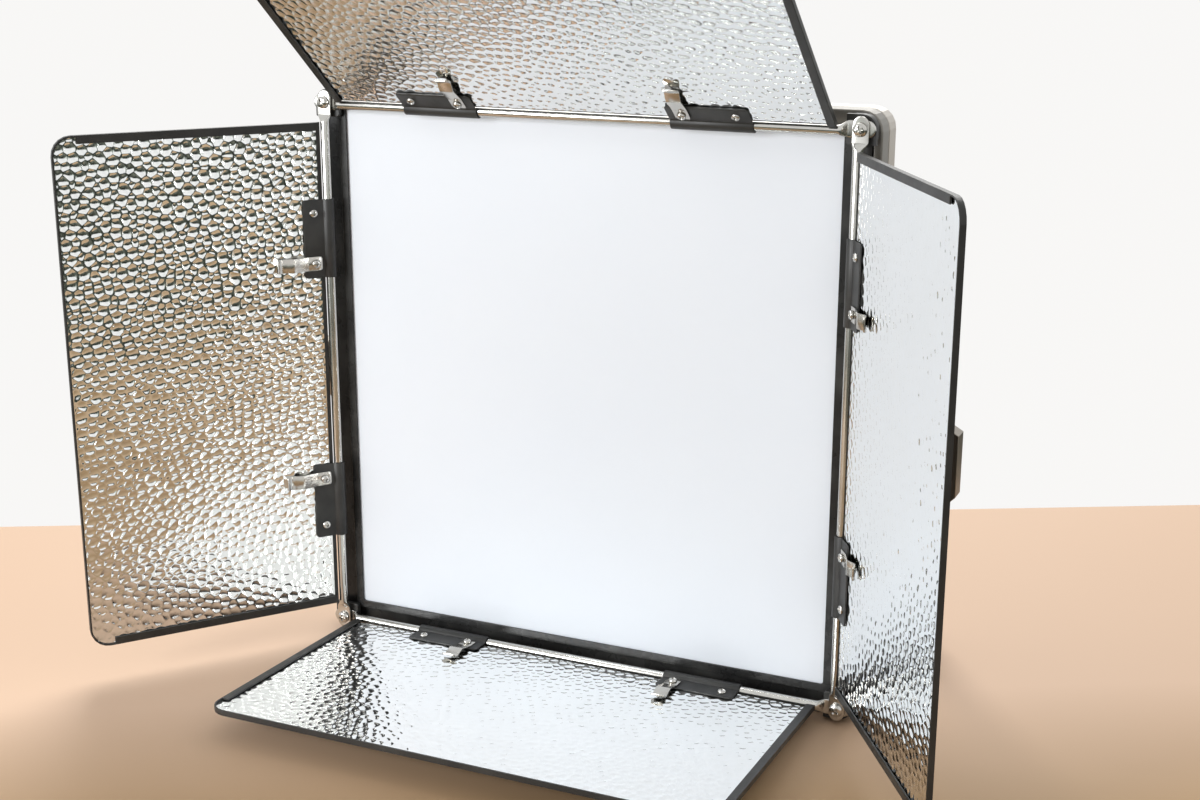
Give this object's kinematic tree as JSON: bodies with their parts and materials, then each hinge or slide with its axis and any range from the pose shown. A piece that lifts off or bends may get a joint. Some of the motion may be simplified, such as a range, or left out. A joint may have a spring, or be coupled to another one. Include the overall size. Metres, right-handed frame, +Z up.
{
  "type": "led panel light",
  "caption": "Square soft LED panel light with mirror-lined barn doors hinged on bright rods, gel clips and a tilting yoke that props it on a table.",
  "frame": {"origin": "middle of the front shell's bottom face, where the housing stands on a table", "axes": "+Z up, the light shines toward -Y, +X to the right as seen from in front"},
  "size_m": [0.5369, 0.3193, 0.4614],
  "materials": {
    "housing_grey": "satin painted",
    "frame_black": "semi-gloss",
    "soft_white": "frosted",
    "chamber_white": "matte",
    "board_white": "matte",
    "bare_aluminium": "bare",
    "black_plastic": "satin",
    "display_glass": "glossy",
    "satin_metal": "satin",
    "washer_nylon": "matte",
    "bright_steel": "polished",
    "black_steel": "black powder coat",
    "black_coat": "black powder coat",
    "hammered_mirror": "hammered, mirror bright"
  },
  "bodies": {
    "head": {"front_shell": "housing_grey", "rear_shell": "housing_grey", "front_frame": "frame_black", "diffuser": "soft_white", "mixing_chamber": "chamber_white", "led_board": "board_white", "heat_sink": "bare_aluminium", "driver_box": "bare_aluminium", "control_panel": "black_plastic", "power_inlet": "black_plastic", "data_socket_1": "black_plastic", "data_socket_2": "black_plastic", "display_window": "display_glass", "pivot_boss_left": "satin_metal", "pivot_boss_right": "satin_metal", "corner_bracket_top_left": "black_steel", "corner_screw_top_left": "bright_steel", "corner_bracket_top_right": "black_steel", "corner_screw_top_right": "bright_steel", "corner_bracket_bottom_left": "black_steel", "corner_screw_bottom_left": "bright_steel", "corner_bracket_bottom_right": "black_steel", "corner_screw_bottom_right": "bright_steel", "rod_top": "bright_steel", "rod_right": "bright_steel", "rod_bottom": "bright_steel", "rod_left": "bright_steel"},
    "door_top": {"leaf_top": "black_coat", "reflector_top": "hammered_mirror", "hinge_bracket_top_1": "black_steel", "hinge_bracket_top_2": "black_steel"},
    "clip_top_1": {"gel_clip_top_1": "bright_steel"},
    "clip_top_2": {"gel_clip_top_2": "bright_steel"},
    "door_right": {"leaf_right": "black_coat", "reflector_right": "hammered_mirror", "hinge_bracket_right_1": "black_steel", "hinge_bracket_right_2": "black_steel"},
    "clip_right_1": {"gel_clip_right_1": "bright_steel"},
    "clip_right_2": {"gel_clip_right_2": "bright_steel"},
    "door_bottom": {"leaf_bottom": "black_coat", "reflector_bottom": "hammered_mirror", "hinge_bracket_bottom_1": "black_steel", "hinge_bracket_bottom_2": "black_steel"},
    "clip_bottom_1": {"gel_clip_bottom_1": "bright_steel"},
    "clip_bottom_2": {"gel_clip_bottom_2": "bright_steel"},
    "door_left": {"leaf_left": "black_coat", "reflector_left": "hammered_mirror", "hinge_bracket_left_1": "black_steel", "hinge_bracket_left_2": "black_steel"},
    "clip_left_1": {"gel_clip_left_1": "bright_steel"},
    "clip_left_2": {"gel_clip_left_2": "bright_steel"},
    "yoke": {"yoke": "satin_metal", "friction_washer_left": "washer_nylon", "friction_washer_right": "washer_nylon"},
    "lever_left": {"tilt_lever_left": "satin_metal"},
    "lever_right": {"tilt_lever_right": "satin_metal"},
    "dimmer_knob": {"dimmer_knob": "black_plastic"},
    "colour_knob": {"colour_knob": "black_plastic"},
    "power_switch": {"power_switch": "black_plastic"}
  },
  "joints": [
    {"name": "top_door_swing", "type": "hinge", "parent": "head", "child": "door_top", "pos_m": [0, -0.019, 0.3527], "axis": [1, 0, 0], "range_deg": [-60.1, 127.9]},
    {"name": "top_clip_1_swivel", "type": "hinge", "parent": "door_top", "child": "clip_top_1", "pos_m": [-0.0715, -0.02705, 0.35944], "axis": [0, -0.6414, -0.7672], "range_deg": [-45, 45]},
    {"name": "top_clip_2_swivel", "type": "hinge", "parent": "door_top", "child": "clip_top_2", "pos_m": [0.0715, -0.02705, 0.35944], "axis": [0, -0.6414, -0.7672], "range_deg": [-45, 45]},
    {"name": "right_door_swing", "type": "hinge", "parent": "head", "child": "door_right", "pos_m": [0.1712, -0.019, 0.1815], "axis": [0, 0, -1], "range_deg": [-67.3, 34.7]},
    {"name": "right_clip_1_swivel", "type": "hinge", "parent": "door_right", "child": "clip_right_1", "pos_m": [0.17687, -0.02784, 0.253], "axis": [-0.8415, -0.5402, 0], "range_deg": [-45, 45]},
    {"name": "right_clip_2_swivel", "type": "hinge", "parent": "door_right", "child": "clip_right_2", "pos_m": [0.17687, -0.02784, 0.11], "axis": [-0.8415, -0.5402, 0], "range_deg": [-45, 45]},
    {"name": "bottom_door_swing", "type": "hinge", "parent": "head", "child": "door_bottom", "pos_m": [0, -0.019, 0.0103], "axis": [-1, 0, 0], "range_deg": [-102.2, 85.8]},
    {"name": "bottom_clip_1_swivel", "type": "hinge", "parent": "door_bottom", "child": "clip_bottom_1", "pos_m": [0.0715, -0.02949, 0.0107], "axis": [0, 0.0384, 0.9993], "range_deg": [-45, 45]},
    {"name": "bottom_clip_2_swivel", "type": "hinge", "parent": "door_bottom", "child": "clip_bottom_2", "pos_m": [-0.0715, -0.02949, 0.0107], "axis": [0, 0.0384, 0.9993], "range_deg": [-45, 45]},
    {"name": "left_door_swing", "type": "hinge", "parent": "head", "child": "door_left", "pos_m": [-0.1712, -0.019, 0.1815], "axis": [0, 0, 1], "range_deg": [-62.8, 39.2]},
    {"name": "left_clip_1_swivel", "type": "hinge", "parent": "door_left", "child": "clip_left_1", "pos_m": [-0.17755, -0.02736, 0.11], "axis": [0.7965, -0.6046, 0], "range_deg": [-45, 45]},
    {"name": "left_clip_2_swivel", "type": "hinge", "parent": "door_left", "child": "clip_left_2", "pos_m": [-0.17755, -0.02736, 0.253], "axis": [0.7965, -0.6046, 0], "range_deg": [-45, 45]},
    {"name": "yoke_tilt", "type": "hinge", "parent": "head", "child": "yoke", "pos_m": [0, 0.011, 0.1815], "axis": [1, 0, 0], "range_deg": [-32.2, 147.8]},
    {"name": "left_lever_turn", "type": "hinge", "parent": "head", "child": "lever_left", "pos_m": [-0.2, 0.011, 0.1815], "axis": [1, 0, 0], "range_deg": [0, 120]},
    {"name": "right_lever_turn", "type": "hinge", "parent": "head", "child": "lever_right", "pos_m": [0.2, 0.011, 0.1815], "axis": [1, 0, 0], "range_deg": [0, 120]},
    {"name": "dimmer_knob_turn", "type": "hinge", "parent": "head", "child": "dimmer_knob", "pos_m": [-0.03795, 0.0616, 0.07], "axis": [0, 1, 0], "range_deg": [-135, 135]},
    {"name": "colour_knob_turn", "type": "hinge", "parent": "head", "child": "colour_knob", "pos_m": [0.03795, 0.0616, 0.07], "axis": [0, 1, 0], "range_deg": [-135, 135]},
    {"name": "power_switch_rock", "type": "hinge", "parent": "head", "child": "power_switch", "pos_m": [-0.06394, 0.0533, 0.07], "axis": [1, 0, 0], "range_deg": [-16, 0]}
  ]
}
